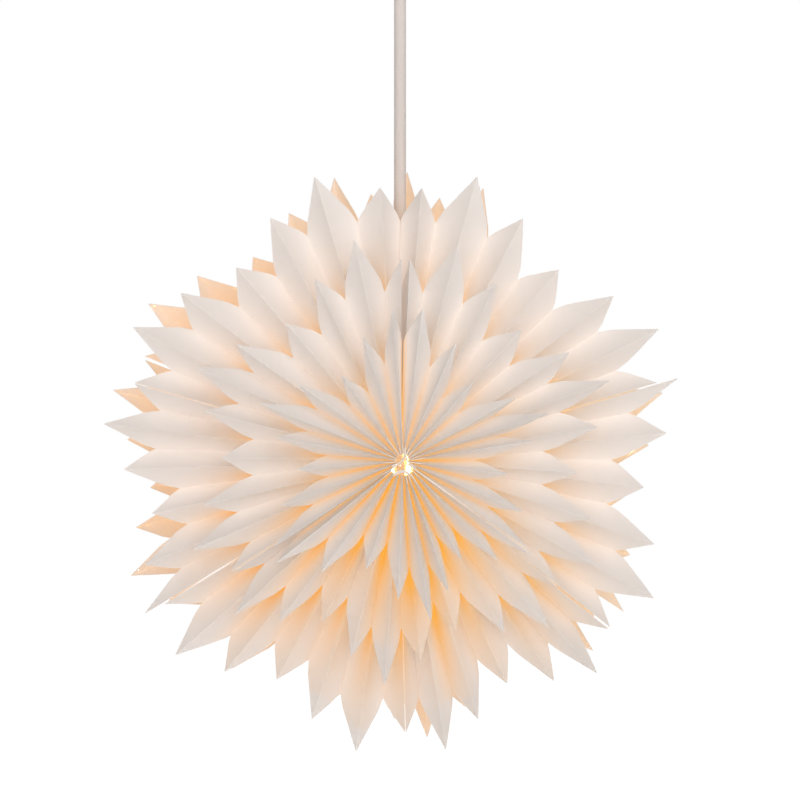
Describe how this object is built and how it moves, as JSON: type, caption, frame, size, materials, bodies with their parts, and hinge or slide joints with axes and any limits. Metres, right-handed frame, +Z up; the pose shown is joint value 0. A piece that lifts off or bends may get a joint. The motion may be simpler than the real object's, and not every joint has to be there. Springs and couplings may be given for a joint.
{
  "type": "folded paper star pendant lamp",
  "caption": "Pendant lamp with a pleated paper star shade in overlapping tiers, hung on a textile flex from a ceiling strap, with lampholder and bulb inside.",
  "frame": {"origin": "middle of the ceiling strap's top face, which lies on the ceiling; the flex hangs on the Z axis", "axes": "+Z up to the ceiling, -Y towards the star's front, +X to the right as seen from the front"},
  "size_m": [0.3299, 0.164, 0.5119],
  "materials": {
    "paper": "matte",
    "card": "matte",
    "holder_plastic": "satin",
    "porcelain": "satin",
    "brass": "satin",
    "spring_steel": "satin",
    "zinc_steel": "satin",
    "glass": "polished",
    "bulb_cap_metal": "satin",
    "black_glass": "gloss",
    "filament": "matte",
    "textile": "woven",
    "lead_brown": "satin",
    "cup_plastic": "satin",
    "block_plastic": "satin"
  },
  "bodies": {
    "ceiling_mount": {"ceiling_strap": "zinc_steel", "strap_hook": "zinc_steel", "hook_nut": "zinc_steel"},
    "hanger": {"hanger_ring": "zinc_steel"},
    "drop": {"clamp_front": "holder_plastic", "clamp_back": "holder_plastic", "clamp_screws": "zinc_steel", "flex": "textile", "terminal_block": "block_plastic", "block_screws": "brass", "block_leads": "lead_brown", "cord_grip": "holder_plastic", "grip_screw": "zinc_steel", "holder_cap": "holder_plastic", "holder_sleeve": "holder_plastic", "holder_insert": "porcelain", "holder_terminal_screws": "brass", "holder_leads": "lead_brown", "screw_shell": "brass", "contact_spring": "spring_steel"},
    "cup": {"ceiling_cup": "cup_plastic", "cup_collar": "cup_plastic"},
    "cup_screw": {"cup_thumbscrew": "cup_plastic"},
    "shade": {"back_inner_left": "paper", "back_inner_lower": "paper", "back_inner_right": "paper", "back_mid_left": "paper", "back_mid_lower": "paper", "back_mid_right": "paper", "back_outer_left": "paper", "back_outer_lower_left": "paper", "back_outer_lower_right": "paper", "back_outer_right": "paper", "back_outer_upper_left": "paper", "back_outer_upper_right": "paper", "front_inner_left": "paper", "front_inner_lower": "paper", "front_inner_right": "paper", "front_mid_left": "paper", "front_mid_lower": "paper", "front_mid_right": "paper", "front_outer_left": "paper", "front_outer_lower_left": "paper", "front_outer_lower_right": "paper", "front_outer_right": "paper", "front_outer_upper_left": "paper", "front_outer_upper_right": "paper", "spine_card_left": "card", "spine_card_right": "card", "holder_plate": "card"},
    "bulb": {"bulb_glass": "glass", "bulb_cap": "bulb_cap_metal", "bulb_insulator": "black_glass", "bulb_contact": "bulb_cap_metal", "bulb_stem": "glass", "filaments": "filament", "filament_wires": "spring_steel"},
    "contact": {"centre_contact": "brass"}
  },
  "joints": [
    {"name": "pendant_swing", "type": "hinge", "parent": "ceiling_mount", "child": "hanger", "pos_m": [0, 0, -0.0175], "axis": [1, 0, 0], "range_deg": [-5, 5]},
    {"name": "pendant_sway", "type": "hinge", "parent": "hanger", "child": "drop", "pos_m": [0, 0, -0.02975], "axis": [0, 1, 0], "range_deg": [-5, 5]},
    {"name": "cup_slide", "type": "slide", "parent": "drop", "child": "cup", "axis": [0, 0, -1], "range_m": [0, 0.1]},
    {"name": "thumbscrew_turn", "type": "hinge", "parent": "cup", "child": "cup_screw", "pos_m": [0, 0, -0.0655], "axis": [0, -1, 0], "continuous": true},
    {"name": "shade_turn", "type": "hinge", "parent": "drop", "child": "shade", "pos_m": [0, 0, -0.269], "axis": [0, 0, 1], "continuous": true},
    {"name": "bulb_turn", "type": "hinge", "parent": "drop", "child": "bulb", "pos_m": [0, 0, -0.3], "axis": [0, 0, 1], "continuous": true},
    {"name": "contact_press", "type": "slide", "parent": "drop", "child": "contact", "axis": [0, 0, 1], "range_m": [0, 0.0008], "stiffness_N_per_m": 800, "springref_m": -0.001, "deforming": ["contact_spring"]}
  ]
}
